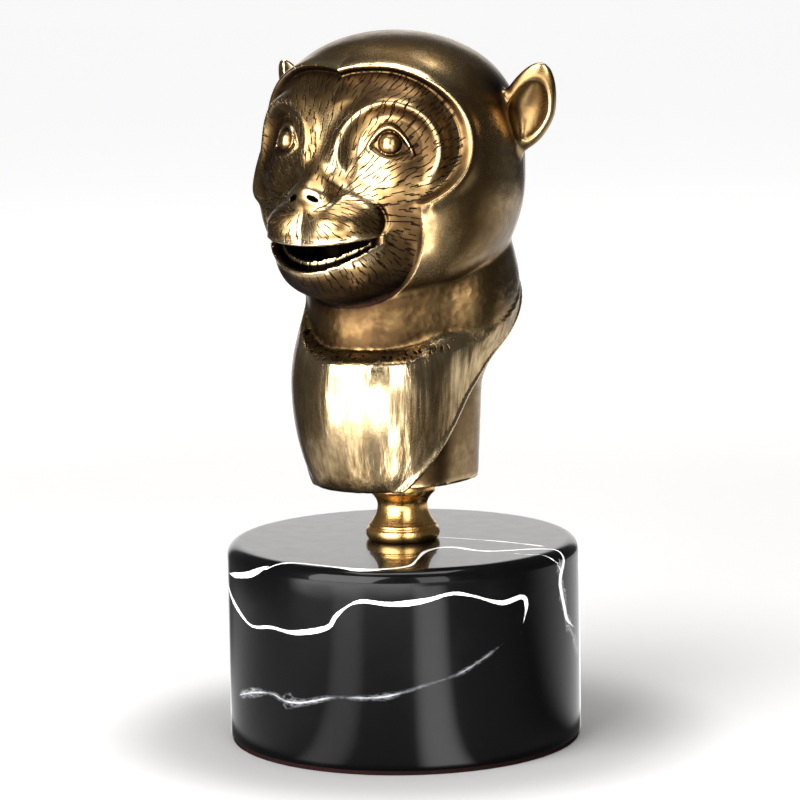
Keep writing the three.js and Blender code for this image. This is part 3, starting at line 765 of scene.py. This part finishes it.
# For each vein: signed distance from its middle line, and its half width there
def vein_attributes(points):
    found = {}
    normals = np.zeros_like(points)
    on_lid = points[:, 2] > BASE_TOP - 0.6 * BASE_TOP_ROUND
    away = np.hypot(points[:, 0], points[:, 1]) + 1e-9
    normals[:, 0] = np.where(on_lid, 0, points[:, 0] / away)
    normals[:, 1] = np.where(on_lid, 0, points[:, 1] / away)
    normals[:, 2] = on_lid
    for label, (line, half, thinning) in VEINS.items():
        line = smooth_line(line)
        start, along = line[:-1], np.diff(line, axis=0)
        size = (along**2).sum(1) + 1e-9
        best = np.full(len(points), 1e9)
        side = np.full(len(points), 1e9)
        width = np.full(len(points), -1.0)
        for i in range(len(start)):
            gap = points - start[i]
            t = np.clip(gap @ along[i] / size[i], 0, 1)
            off = gap - t[:, None] * along[i]
            distance = np.linalg.norm(off, axis=1)
            closer = distance < best
            best[closer] = distance[closer]
            facing = np.sign((np.cross(normals, along[i]) * off).sum(1) + 1e-12)
            side[closer] = (facing * distance)[closer]
            share = (i + t) / len(start)
            swell = 0.75 + 0.25 * np.sin(share * 23) + 0.12 * np.sin(share * 61 + 1)
            taper = smooth_step(share, 0, 0.05) * (1 - smooth_step(share, 0.93, 1))
            thinner = 1 - thinning * share
            width[closer] = (half * swell * taper * thinner)[closer]
        width[best > FAR_FROM_VEIN] = -1
        found[f"{label}_side"] = side
        found[f"{label}_width"] = width
    return found


# How far the turned pieces keep inside the solids, in millimetres: the base by this across,
# and the stem's curved parts by this in radius
SKIN = 0.02


def base_object():
    radius = BASE_DIAMETER / 2 - SKIN / 2
    foot, top = BASE_FOOT_ROUND, BASE_TOP_ROUND
    low, high = FELT_THICKNESS, BASE_TOP
    profile = [(r, low) for r in np.linspace(0, radius - foot, 8)[:-1]]
    profile += arc((radius - foot, low + foot), foot, -90, 0, 4)
    profile += [(radius, h) for h in np.linspace(low + foot, high - top, 60)[1:-1]]
    profile += arc((radius - top, high - top), top, 0, 90, 10)
    profile += [(r, high) for r in np.linspace(radius - top, 0, 52)[1:]]
    return turned("polished_base", profile, 360, vein_attributes)


# Foot, bulge, two small steps, waist and flared top
def stem_object():
    foot, bulge = STEM_FOOT_DIAMETER / 2, STEM_BULGE_DIAMETER / 2
    waist, top = STEM_WAIST_DIAMETER / 2, STEM_TOP_DIAMETER / 2

    def level(share):
        return BASE_TOP + share * STEM_HEIGHT

    profile = [(0, BASE_TOP), (foot - 0.2, BASE_TOP), (foot, BASE_TOP + 0.15)]
    for i in range(1, 15):
        angle = i / 14 * math.pi * 0.7
        radius = foot + (bulge - foot) * math.sin(angle) - SKIN
        profile.append((radius, level(0.115 * (1 - math.cos(angle)))))
    shoulder = foot + (bulge - foot) * 0.3
    profile += [
        (shoulder - 0.3, level(0.2)),
        (shoulder - 0.08, level(0.215)),
        (shoulder - 0.05, level(0.255)),
        (shoulder - 0.42, level(0.27)),
    ]
    for t in np.linspace(0, 1, 16)[1:]:
        ease = 1 - (1 - t) ** 2
        radius = shoulder - 0.3 + (waist - shoulder + 0.3) * ease - SKIN
        profile.append((radius, level(0.27 + 0.3 * t)))
    for t in np.linspace(0, 1, 14)[1:]:
        profile.append((waist + (top - waist) * t * t - SKIN, level(0.57 + 0.22 * t)))
    profile += [(top - SKIN, HEAD_BOTTOM), (0, HEAD_BOTTOM)]
    return turned("turned_stem", profile, 128)


# The mix node's colour sockets, which share their names with its other sockets
COLOUR_A = 6
COLOUR_B = 7
COLOUR_RESULT = 2


# Short ways to write a node graph. A value may be a number, a colour or another node's output.
class Graph:
    def __init__(self, tree):
        self.nodes = tree.nodes
        self.links = tree.links

    def node(self, kind, settings=(), **inputs):
        made = self.nodes.new(kind)
        for label, value in dict(settings).items():
            setattr(made, label, value)
        for label, value in inputs.items():
            self.give(made.inputs[label.replace("_", " ")], value)
        return made

    def give(self, socket, value):
        if isinstance(value, bpy.types.NodeSocket):
            self.links.new(value, socket)
        else:
            socket.default_value = value

    def math(self, operation, first, second=0.0):
        made = self.node("ShaderNodeMath", {"operation": operation})
        self.give(made.inputs[0], first)
        self.give(made.inputs[1], second)
        return made.outputs[0]

    def attribute(self, label):
        return self.node("ShaderNodeAttribute", {"attribute_name": label}).outputs["Fac"]

    def place(self, stretch=(1, 1, 1)):
        here = self.node("ShaderNodeTexCoord").outputs["Object"]
        made = self.node("ShaderNodeMapping", Vector=here, Scale=stretch)
        return made.outputs["Vector"]

    def length(self, vector):
        made = self.node("ShaderNodeVectorMath", {"operation": "LENGTH"}, Vector=vector)
        return made.outputs["Value"]

    def dot(self, vector, direction):
        made = self.node("ShaderNodeVectorMath", {"operation": "DOT_PRODUCT"})
        self.give(made.inputs[0], vector)
        self.give(made.inputs[1], direction)
        return made.outputs["Value"]

    def noise(self, scale, detail=3.0, stretch=(1, 1, 1), roughness=0.5):
        made = self.node("ShaderNodeTexNoise", Vector=self.place(stretch), Scale=scale)
        made.inputs["Detail"].default_value = detail
        made.inputs["Roughness"].default_value = roughness
        return made.outputs["Fac"]

    def cells(self, scale):
        made = self.node("ShaderNodeTexVoronoi", Vector=self.place(), Scale=scale)
        return made.outputs["Distance"]

    def between(self, value, low, high, first=0.0, last=1.0, smooth=True):
        kind = "SMOOTHSTEP" if smooth else "LINEAR"
        made = self.node("ShaderNodeMapRange", {"interpolation_type": kind, "clamp": True})
        self.give(made.inputs["Value"], value)
        self.give(made.inputs["From Min"], low)
        self.give(made.inputs["From Max"], high)
        self.give(made.inputs["To Min"], first)
        self.give(made.inputs["To Max"], last)
        return made.outputs["Result"]

    def shades(self, value, stops):
        made = self.node("ShaderNodeValToRGB", Fac=value)
        elements = made.color_ramp.elements
        for element, (position, colour) in zip(elements, (stops[0], stops[-1])):
            element.position = position
            element.color = (*colour, 1)
        for position, colour in stops[1:-1]:
            elements.new(position).color = (*colour, 1)
        return made.outputs["Color"]

    def mix(self, share, first, last):
        made = self.node("ShaderNodeMix", {"data_type": "RGBA"})
        self.give(made.inputs["Factor"], share)
        self.give(made.inputs[COLOUR_A], first)
        self.give(made.inputs[COLOUR_B], last)
        return made.outputs[COLOUR_RESULT]

    def relief(self, height, depth, below=None):
        made = self.node("ShaderNodeBump", Strength=1.0, Distance=depth, Height=height)
        if below is not None:
            self.give(made.inputs["Normal"], below)
        return made.outputs["Normal"]


class Finish(Graph):
    def __init__(self, name):
        self.material = bpy.data.materials.new(name)
        self.material.use_nodes = True
        super().__init__(self.material.node_tree)
        self.surface = self.nodes["Principled BSDF"]

    def set(self, label, value):
        self.give(self.surface.inputs[label], value)


# Dark in the hollows and rubbed bright on the ridges, with painted shade on parts of the face and the
# collar and a painted highlight along the chest panel's ridge. Wear with the painted light runs from
# 0, dark, to 1, bright.
def bronze():
    look = Finish("antique_bronze")
    cavity, ridge, panel, collar, hammered, cup = (
        look.attribute(label)
        for label in ("cavity", "ridge", "panel", "collar", "hammered", "cup")
    )
    sideways = look.math("ABSOLUTE", look.attribute("stroke_across"))
    lengthwise = look.math("ABSOLUTE", look.attribute("stroke_along"))
    stroke = look.math(
        "MULTIPLY",
        look.between(sideways, 0.07, 0.15, 1.0, 0.0),
        look.between(lengthwise, 0.6, 1.0, 1.0, 0.0),
    )
    stroke = look.math("MULTIPLY", stroke, look.between(look.attribute("stroke_owned"), 0.3, 0.7))
    tick = look.between(look.noise(1100, 1, (1, 1, 0.25)), 0.56, 0.62)
    tick = look.math("MULTIPLY", tick, look.attribute("hem"))
    groove = look.math("MAXIMUM", look.math("MAXIMUM", stroke, tick), look.attribute("gap"))
    smudges = look.math("SUBTRACT", look.noise(60, 4), 0.5)
    mottle = look.math("SUBTRACT", look.noise(420, 4), 0.5)
    brushed = look.noise(900, 3, (1, 1, 0.12))
    streaks = look.math("MULTIPLY", look.math("SUBTRACT", brushed, 0.5), panel)
    rubbed_and_painted_light = (
        (smudges, 0.8),
        (mottle, 0.25),
        (ridge, 1.2),
        (cavity, -1.0),
        (cup, -0.1),
        # collar darker: partly patina, partly painted shade under the chin
        (collar, -0.2),
        # painted shade on parts of the face
        (look.attribute("shade"), -0.42),
        # line along the chest panel's ridge: partly rubbed bright, partly a painted highlight
        (look.attribute("edge"), 0.6),
        (streaks, 0.6),
        (panel, 0.08),
        (groove, -0.8),
    )
    wear_and_painted_light = 0.66
    for layer, share in rubbed_and_painted_light:
        wear_and_painted_light = look.math("ADD", wear_and_painted_light, look.math("MULTIPLY", layer, share))
    wear_and_painted_light = look.between(wear_and_painted_light, 0.0, 1.0, smooth=False)
    colour = look.shades(
        wear_and_painted_light,
        [
            (0.0, (0.009, 0.0046, 0.003)),
            (0.3, (0.054, 0.030, 0.012)),
            (0.6, (0.205, 0.128, 0.052)),
            (1.0, (0.685, 0.515, 0.290)),
        ],
    )
    # Painted shade: near black inside the mouth, on the teeth but for their tops, and in the nostrils
    look.set("Base Color", look.mix(look.attribute("painted_mouth_shade"), colour, (0.0008, 0.0006, 0.0005, 1)))
    look.set("Metallic", 1.0)
    fine = look.noise(2600, 2)
    rough = look.between(wear_and_painted_light, 0.1, 0.9, 0.42, 0.19, smooth=False)
    rough = look.math("ADD", rough, look.math("MULTIPLY", look.math("SUBTRACT", fine, 0.5), 0.1))
    look.set("Roughness", rough)
    flutes = look.math("MULTIPLY", look.noise(120, 2, (1, 1, 0.2)), panel)
    normal = look.relief(flutes, 0.0010)
    strokes = look.math("MULTIPLY", brushed, panel)
    normal = look.relief(strokes, 0.0001, normal)
    dents = look.math("MULTIPLY", look.between(look.cells(520), 0.0, 0.8), hammered)
    normal = look.relief(dents, 0.00006, normal)
    normal = look.relief(look.noise(190, 2), 0.00009, normal)
    normal = look.relief(look.math("SUBTRACT", 1.0, groove), 0.00006, normal)
    normal = look.relief(fine, 0.000012, normal)
    look.set("Normal", normal)
    return look.material


# Fine turned rings round the axis
def brass():
    look = Finish("turned_brass")
    height = look.node("ShaderNodeSeparateXYZ", Vector=look.place()).outputs["Z"]
    rings = look.node("ShaderNodeCombineXYZ", Z=height).outputs["Vector"]
    lines = look.node("ShaderNodeTexNoise", Vector=rings, Scale=5200, Detail=3).outputs["Fac"]
    tarnish = look.noise(160, 4)
    shade = look.math("ADD", look.math("MULTIPLY", lines, 0.35), look.math("MULTIPLY", tarnish, 0.65))
    stops = [(0.25, (0.55, 0.29, 0.08)), (0.5, (0.88, 0.52, 0.17)), (0.8, (0.98, 0.68, 0.30))]
    look.set("Base Color", look.shades(shade, stops))
    look.set("Metallic", 1.0)
    look.set("Roughness", look.between(tarnish, 0.3, 0.7, 0.2, 0.34))
    look.set("Normal", look.relief(lines, 0.00003))
    return look.material


# Polished black stone with crisp white veins and smoky ones, under a clear coat
def marble():
    look = Finish("black_marble")
    ragged = look.math("MULTIPLY", look.math("SUBTRACT", look.noise(1100, 3), 0.5), 0.3)
    wisps = look.between(look.noise(800, 4, (1, 1, 3)), 0.3, 0.8)
    white, smoke = 0.0, 0.0
    for label in VEINS:
        side = look.math("ABSOLUTE", look.attribute(f"{label}_side"))
        width = look.attribute(f"{label}_width")
        if label in SMOKY_VEINS:
            body = look.between(look.math("SUBTRACT", width, side), -0.1, 1.4)
            smoke = look.math("MAXIMUM", smoke, look.math("MULTIPLY", body, wisps))
            core = look.math("SUBTRACT", 0.26, look.math("ADD", side, ragged))
            core = look.math("MULTIPLY", look.between(core, 0.0, 0.2), look.between(width, 0.4, 1.1))
            smoke = look.math("MAXIMUM", smoke, core)
        else:
            edge = look.math("ADD", look.math("SUBTRACT", width, side), ragged)
            white = look.math("MAXIMUM", white, look.between(edge, 0.0, 0.12))
    cloud = look.between(look.noise(90, 5), 0.55, 0.9)
    ground = look.mix(cloud, (0.0016, 0.0016, 0.0018, 1), (0.0045, 0.0043, 0.004, 1))
    colour = look.mix(look.math("MULTIPLY", smoke, 0.75), ground, (0.42, 0.43, 0.45, 1))
    colour = look.mix(white, colour, (0.86, 0.85, 0.83, 1))
    look.set("Base Color", colour)
    look.set("Roughness", look.between(look.noise(300, 3), 0.3, 0.7, 0.2, 0.25))
    look.set("Specular IOR Level", 0.05)
    look.set("Coat Weight", 1.0)
    look.set("Coat IOR", 1.2)
    look.set("Coat Roughness", 0.02)
    look.set("Coat Normal", look.relief(look.noise(45, 2), 0.00006))
    return look.material


def felt():
    look = Finish("dark_felt")
    fibres = look.noise(3000, 6, (1, 1, 2), 0.7)
    stops = [(0.3, (0.004, 0.002, 0.002)), (0.7, (0.022, 0.006, 0.006))]
    look.set("Base Color", look.shades(fibres, stops))
    look.set("Roughness", 0.95)
    look.set("Specular IOR Level", 0.1)
    look.set("Normal", look.relief(fibres, 0.0002))
    return look.material


def dress(piece, node, material):
    piece.data.materials.append(material)
    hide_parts(node)
    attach(piece, "root")


bronze_finish = bronze()
for half in head_objects():
    dress(half, "monkey_head", bronze_finish)
dress(stem_object(), "brass_stem", brass())
dress(base_object(), "marble_base", marble())
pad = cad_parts["felt_pad"]
felt_finish = felt()
for slot in pad.material_slots:
    slot.material = felt_finish


# Camera, where the photograph was taken from
CAMERA_AZIMUTH = math.radians(35)
CAMERA_AWAY = 0.781
CAMERA_UP = 0.194
CAMERA_PITCH = math.radians(8.23)
CAMERA_ROLL = math.radians(-0.93)
FOCAL_PIXELS = 3288
PHOTO_PIXELS = 800
SHIFT_RIGHT_PIXELS = -0.8
SHIFT_UP_PIXELS = 2
SENSOR = 36


def add_camera():
    data = bpy.data.cameras.new("camera")
    made = bpy.data.objects.new("camera", data)
    bpy.context.collection.objects.link(made)
    level_back = Vector((math.sin(CAMERA_AZIMUTH), -math.cos(CAMERA_AZIMUTH), 0))
    right = Vector((math.cos(CAMERA_AZIMUTH), math.sin(CAMERA_AZIMUTH), 0))
    place = CAMERA_AWAY * level_back + Vector((0, 0, CAMERA_UP))
    back = level_back * math.cos(CAMERA_PITCH) + Vector((0, 0, math.sin(CAMERA_PITCH)))
    up = back.cross(right)
    tilted_right = right * math.cos(CAMERA_ROLL) + up * math.sin(CAMERA_ROLL)
    tilted_up = up * math.cos(CAMERA_ROLL) - right * math.sin(CAMERA_ROLL)
    turned_to = Matrix((tilted_right, tilted_up, back)).transposed().to_4x4()
    made.matrix_world = Matrix.Translation(place) @ turned_to
    data.sensor_width = SENSOR
    data.lens = SENSOR * FOCAL_PIXELS / PHOTO_PIXELS
    data.shift_x = SHIFT_RIGHT_PIXELS / PHOTO_PIXELS
    data.shift_y = SHIFT_UP_PIXELS / PHOTO_PIXELS
    data.clip_start = 0.01
    bpy.context.scene.camera = made


# Direction from the object, at an angle to the right of the photograph's and above level.
# It stays where it is when another view moves the camera.
def beside_camera(degrees, height=0.0):
    azimuth = CAMERA_AZIMUTH + math.radians(degrees)
    rise = math.radians(height)
    level = math.cos(rise)
    return Vector((math.sin(azimuth) * level, -math.cos(azimuth) * level, math.sin(rise)))


# A soft panel that faces the object: its direction and height in degrees, its distance, width
# and height in metres, and how bright it is. One that isn't mirrored lights only the matt
# surfaces.
def add_panel(name, degrees, height, away, wide, tall, radiance, mirrored=True):
    data = bpy.data.lights.new(name, "AREA")
    data.shape = "RECTANGLE"
    data.size = wide
    data.size_y = tall
    data.energy = radiance * math.pi * wide * tall
    made = bpy.data.objects.new(name, data)
    made.visible_glossy = mirrored
    made.visible_camera = False
    aim = Vector((0, 0, 0.1))
    made.location = aim + beside_camera(degrees, height) * away
    made.rotation_euler = (aim - made.location).to_track_quat("-Z", "Y").to_euler()
    bpy.context.collection.objects.link(made)


# A bright wall behind the object, in a dim room
def add_world():
    world = bpy.data.worlds.new("studio")
    world.use_nodes = True
    look = Graph(world.node_tree)
    here = look.node("ShaderNodeTexCoord").outputs["Generated"]
    facing = look.dot(here, beside_camera(180, 4))
    background = look.nodes["Background"]
    background.inputs["Color"].default_value = (1, 0.99, 0.98, 1)
    look.give(background.inputs["Strength"], look.between(facing, 0.90, 0.96, 0.08, 1.15))
    bpy.context.scene.world = world


LAMP_STEP = 0.0002
LAMP_FADE = 1.4


# A soft lamp lying on the floor, seen only as the base and the bronze mirror it: its middle
# direction and half width in degrees, how soft its sides are, where it starts and ends in
# metres, and how bright it is. Each lamp lies on the one before it.
def add_floor_lamp(name, layer, degrees, half, soft, start, end, radiance):
    data = bpy.data.lights.new(name, "AREA")
    data.shape = "RECTANGLE"
    faded = end * LAMP_FADE
    nearest = start * math.cos(math.radians(half + soft))
    data.size = 2 * faded * math.sin(math.radians(half + soft))
    data.size_y = faded - nearest
    data.energy = math.pi * data.size * data.size_y
    data.use_nodes = True
    look = Graph(data.node_tree)
    here = look.node("ShaderNodeNewGeometry").outputs["Position"]
    away = look.length(here)
    outwards = beside_camera(degrees)
    share = look.math("DIVIDE", look.dot(here, outwards), away)
    outer = math.cos(math.radians(half + soft))
    inner = math.cos(math.radians(half - soft))
    glow = look.math("MULTIPLY", look.between(share, outer, inner), radiance)
    glow = look.math("MULTIPLY", glow, look.between(away, start, start * 1.12))
    glow = look.math("MULTIPLY", glow, look.between(away, end, faded, 1.0, 0.0))
    look.give(look.nodes["Emission"].inputs["Strength"], glow)
    made = bpy.data.objects.new(name, data)
    made.visible_camera = False
    up = Vector((0, 0, 1))
    turned_to = Matrix((up.cross(outwards), outwards, -up)).transposed().to_4x4()
    middle = outwards * (nearest + faded) / 2 + up * layer * LAMP_STEP
    made.matrix_world = Matrix.Translation(middle) @ turned_to
    bpy.context.collection.objects.link(made)


FLOOR_REACH = 8.0


# Pale floor with a painted shadow round the base and a painted glow that turns it white away from the
# object. The bronze and the stone don't mirror it.
def add_floor():
    mesh = bpy.data.meshes.new("floor")
    signs = ((-1, -1), (1, -1), (1, 1), (-1, 1))
    mesh.from_pydata([(a * FLOOR_REACH, b * FLOOR_REACH, 0) for a, b in signs], [], [(0, 1, 2, 3)])
    floor = bpy.data.objects.new("floor", mesh)
    floor.visible_glossy = False
    bpy.context.collection.objects.link(floor)
    look = Finish("pale_floor")
    away = look.length(look.place())
    pale = look.mix(look.noise(6, 2), (0.48, 0.473, 0.468, 1), (0.51, 0.503, 0.498, 1))
    # Painted shadow: the floor's colour goes up to 0.42 of the way to black within 8.5 cm of the
    # middle, round the base
    painted_base_shadow = look.between(away, 0.05, 0.085, 0.42, 0.0)
    look.set("Base Color", look.mix(painted_base_shadow, pale, (0.0, 0.0, 0.0, 1)))
    look.set("Roughness", 0.7)
    look.set("Specular IOR Level", 0.2)
    # Painted light: the floor glows, a little from 6 cm out and more from 20 cm out
    look.set("Emission Color", (1, 1, 1, 1))
    first = look.between(away, 0.06, 0.2, 0.0, 0.25)
    look.set("Emission Strength", look.math("ADD", first, look.between(away, 0.2, 0.9, 0.0, 0.6)))
    mesh.materials.append(look.material)


add_camera()
add_world()
add_floor()
add_panel("left_softbox", -40, 22, 0.6, 0.5, 0.62, 12.0)
add_panel("right_softbox", 19, 17, 0.6, 0.2, 0.5, 7.0)
add_panel("top_softbox", 0, 89, 0.6, 0.42, 0.3, 9.0)
add_panel("overhead", 120, 70, 1.1, 1.0, 1.0, 2.0, mirrored=False)
add_floor_lamp("base_streak", 1, 15, 6, 6, 0.045, 0.23, 7.0)
add_floor_lamp("thin_streak", 2, -33, 6, 6, 0.045, 0.23, 2.5)
add_floor_lamp("floor_glow", 3, -30, 38, 8, 0.235, 0.8, 9.0)
add_floor_lamp("wide_glow", 4, -15, 60, 8, 0.3, 1.4, 0.8)
add_floor_lamp("near_glow", 5, -5, 65, 20, 0.045, 0.25, 0.3)
add_floor_lamp("right_glow", 6, 128, 37, 15, 0.045, 0.7, 0.85)
add_floor_lamp("left_glow", 7, -90, 35, 20, 0.045, 0.17, 0.6)
bpy.context.scene.view_settings.view_transform = "Standard"
